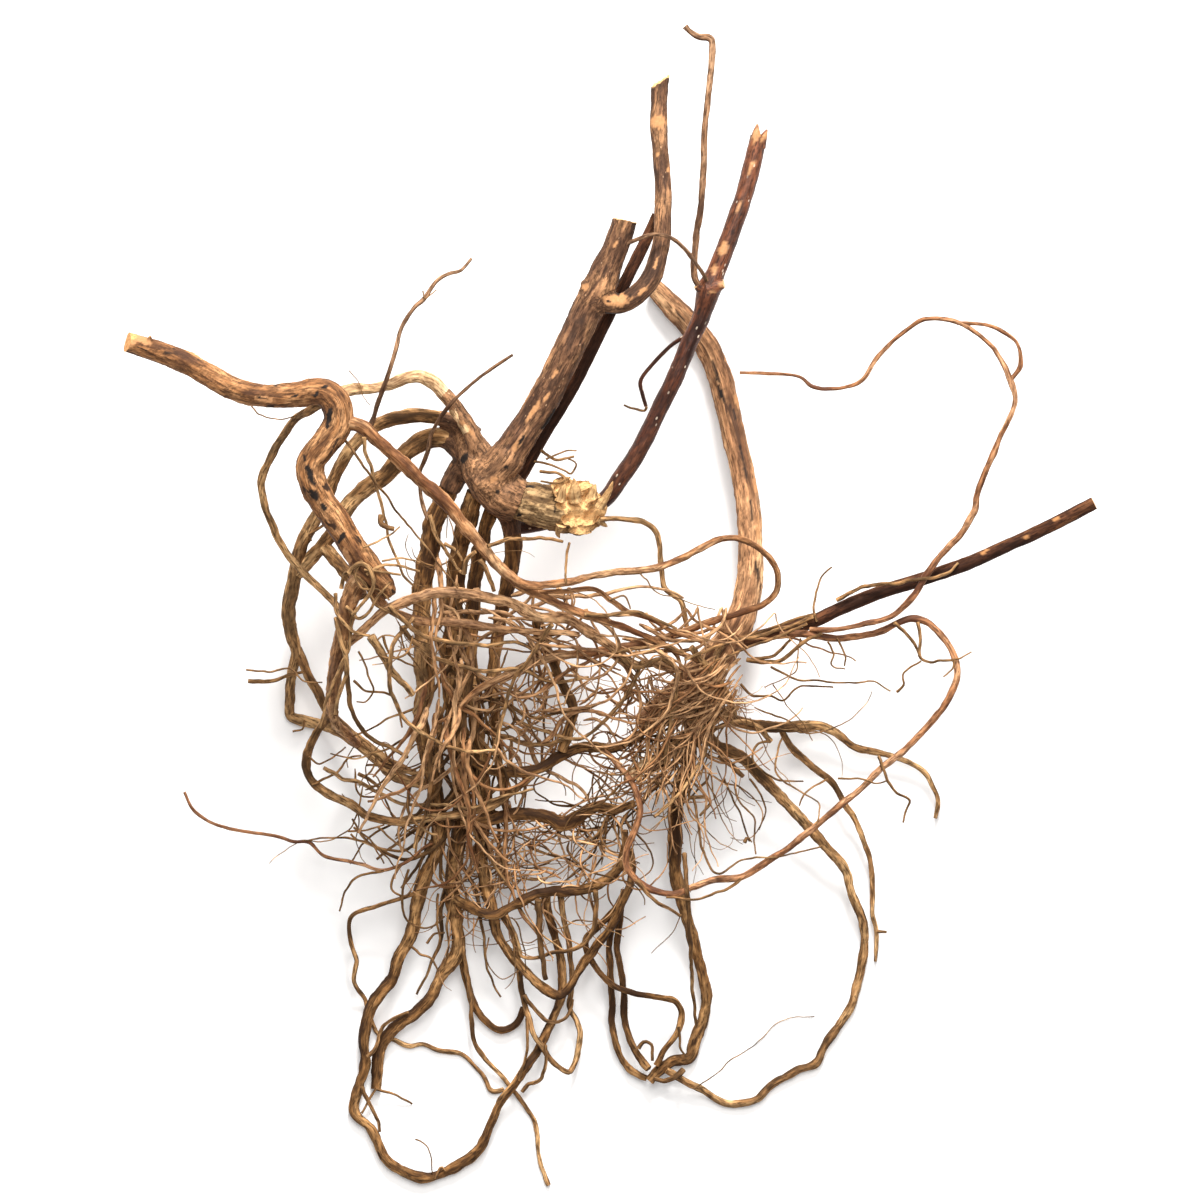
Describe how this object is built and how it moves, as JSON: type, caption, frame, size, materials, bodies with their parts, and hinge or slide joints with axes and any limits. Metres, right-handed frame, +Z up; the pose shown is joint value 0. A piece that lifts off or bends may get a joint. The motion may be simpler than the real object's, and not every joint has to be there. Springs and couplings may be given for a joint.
{
  "type": "dried root",
  "caption": "Dried shrub root: woody stems, sawn or snapped, over a tangle of long branching and looping roots, laid flat.",
  "frame": {"origin": "centre of the bounding box on the surface the root lies on (z = 0)", "axes": "+Z up from the surface, towards a viewer looking down on the laid-out root; +Y along its longest extent, from the hanging roots towards the stem ends; +X to that viewer's right, towards the right-hand stem"},
  "size_m": [0.3253, 0.3881, 0.087],
  "materials": {
    "bark_tan": "smooth pale tan bark with darker patches",
    "bark_orange": "bright orange-brown root bark, finely furrowed",
    "bark_brown": "dull brown root bark, furrowed lengthwise",
    "bark_grey": "grey-brown stem bark with flaking patches",
    "bark_dark": "dark red-brown stem bark, slightly glossy",
    "torn_wood": "torn pale yellow wood"
  },
  "bodies": {
    "root": {"root_crown": "bark_tan", "stump": "torn_wood", "stem_tall": "bark_grey", "stem_tall_branch": "bark_grey", "stem_behind": "bark_dark", "stem_dark": "bark_dark", "stem_dark_twig": "bark_brown", "tendril": "bark_orange", "stem_left": "bark_tan", "stem_right": "bark_dark", "root_over": "bark_tan", "root_diagonal": "bark_orange", "root_arch_upper": "bark_brown", "root_arch_lower": "bark_brown", "root_left_leg": "bark_tan", "root_pale_loop": "bark_tan", "root_long": "bark_tan", "root_bundle_a": "bark_brown", "root_bundle_b": "bark_brown", "root_bundle_c": "bark_brown", "root_bundle_d": "bark_brown", "root_knot": "bark_orange", "root_orange_upper": "bark_orange", "root_orange_lower": "bark_orange", "root_middle": "bark_orange", "root_loop_left": "bark_brown", "root_down": "bark_brown", "root_band_upper": "bark_brown", "root_band_lower": "bark_brown", "root_arc": "bark_brown", "root_bright": "bark_orange", "root_right_loop": "bark_orange", "root_thin_loop": "bark_orange", "root_outer_upper": "bark_brown", "root_outer_lower": "bark_brown", "root_tail": "bark_brown", "root_hanging": "bark_brown", "root_hook": "bark_brown", "root_curl": "bark_brown", "root_stray": "bark_brown", "root_outline": "bark_brown", "root_long_thin": "bark_orange", "twig_left": "bark_brown", "twig_right": "bark_brown", "root_stump_side": "bark_tan"}
  },
  "joints": []
}
